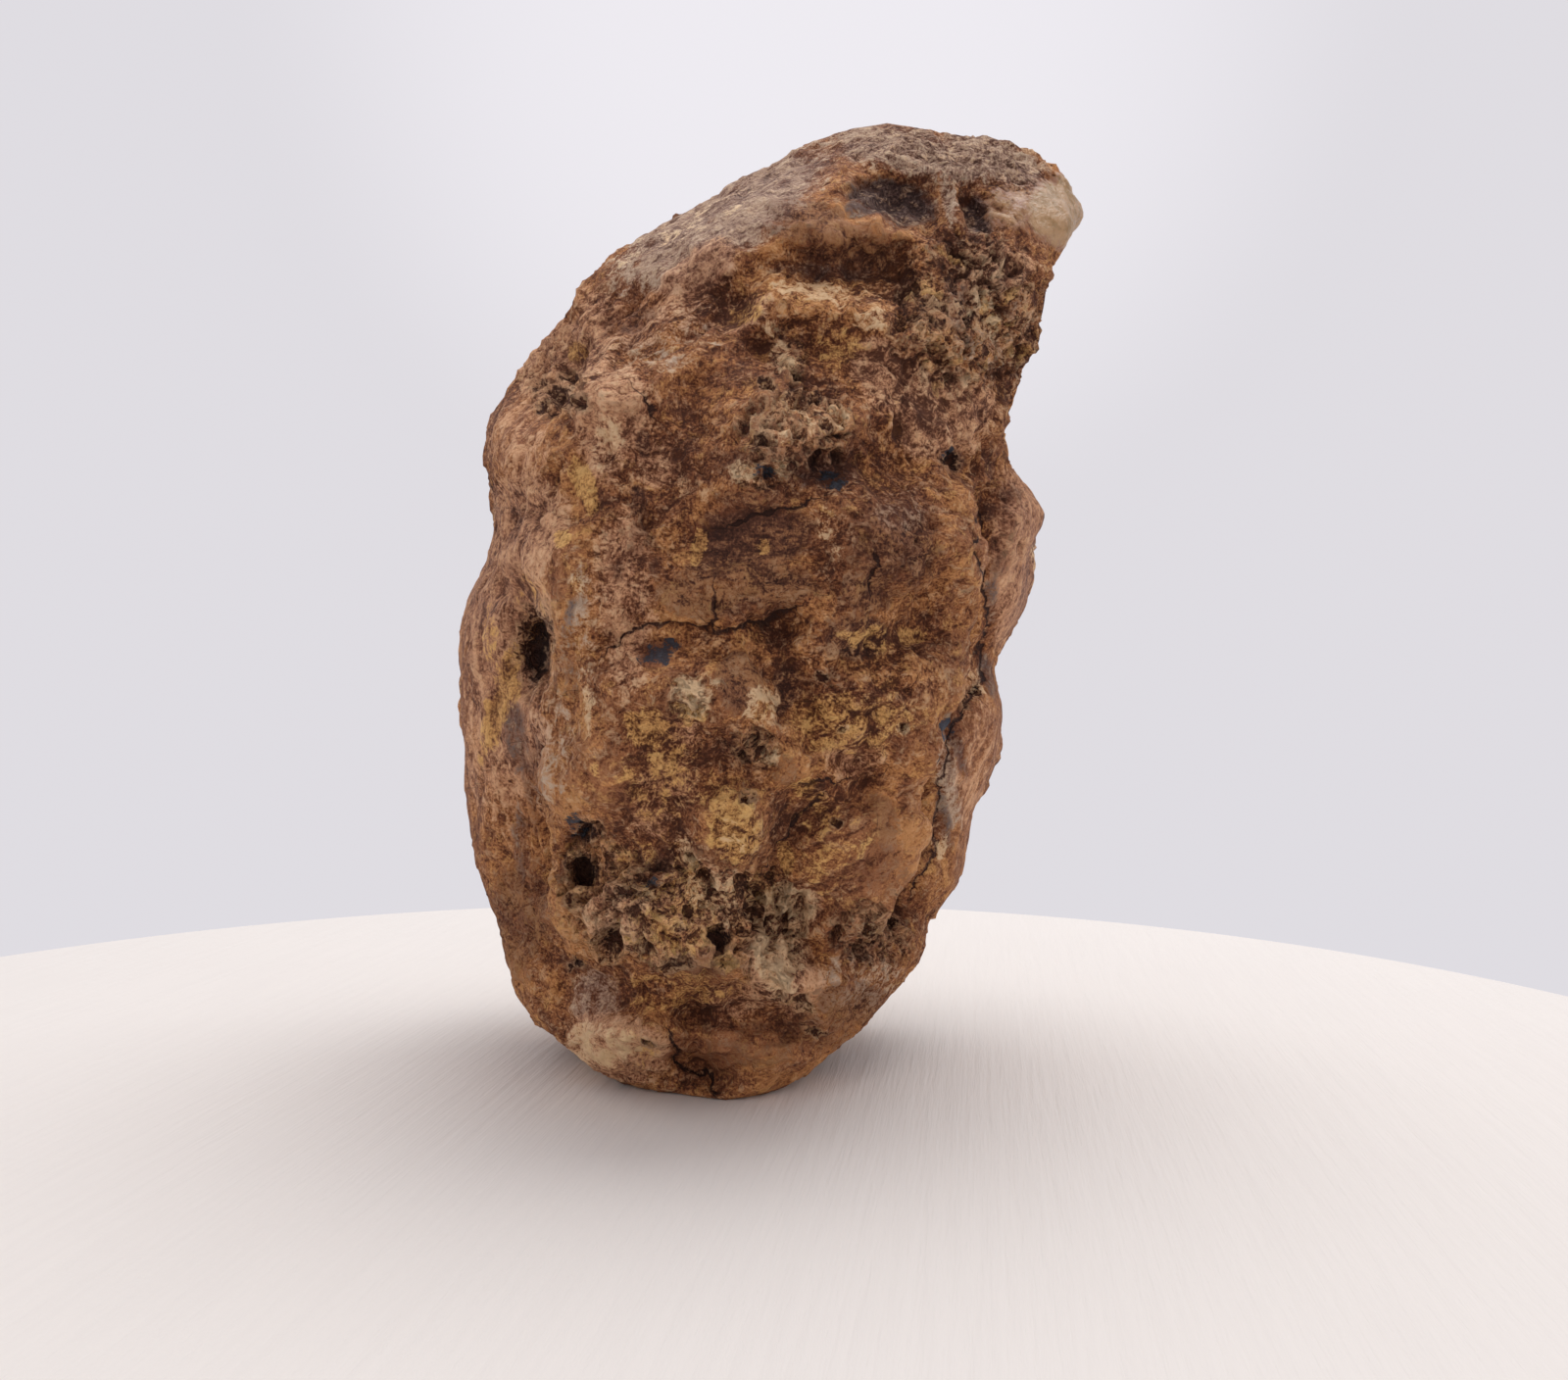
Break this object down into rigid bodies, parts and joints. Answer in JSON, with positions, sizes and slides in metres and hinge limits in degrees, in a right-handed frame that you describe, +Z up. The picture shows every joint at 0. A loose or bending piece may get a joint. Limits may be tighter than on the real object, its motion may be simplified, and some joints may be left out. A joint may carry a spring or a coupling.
{
  "type": "unopened geode",
  "caption": "Unopened natural geode: a knobbly, pitted, iron-stained stone standing on its narrow end, with a small milky quartz tip.",
  "frame": {"origin": "below the middle of the stone's box, on the ground that its foot rests on", "axes": "+Z up, -Y out of the stone's front, +X to the right as the front is seen"},
  "size_m": [0.0858, 0.086, 0.1247],
  "materials": {
    "rock": "rough iron-stained rock, rust brown, ochre and grey-brown, with pale crusts and dark pits"
  },
  "bodies": {
    "root": {"geode": "rock"}
  },
  "joints": []
}
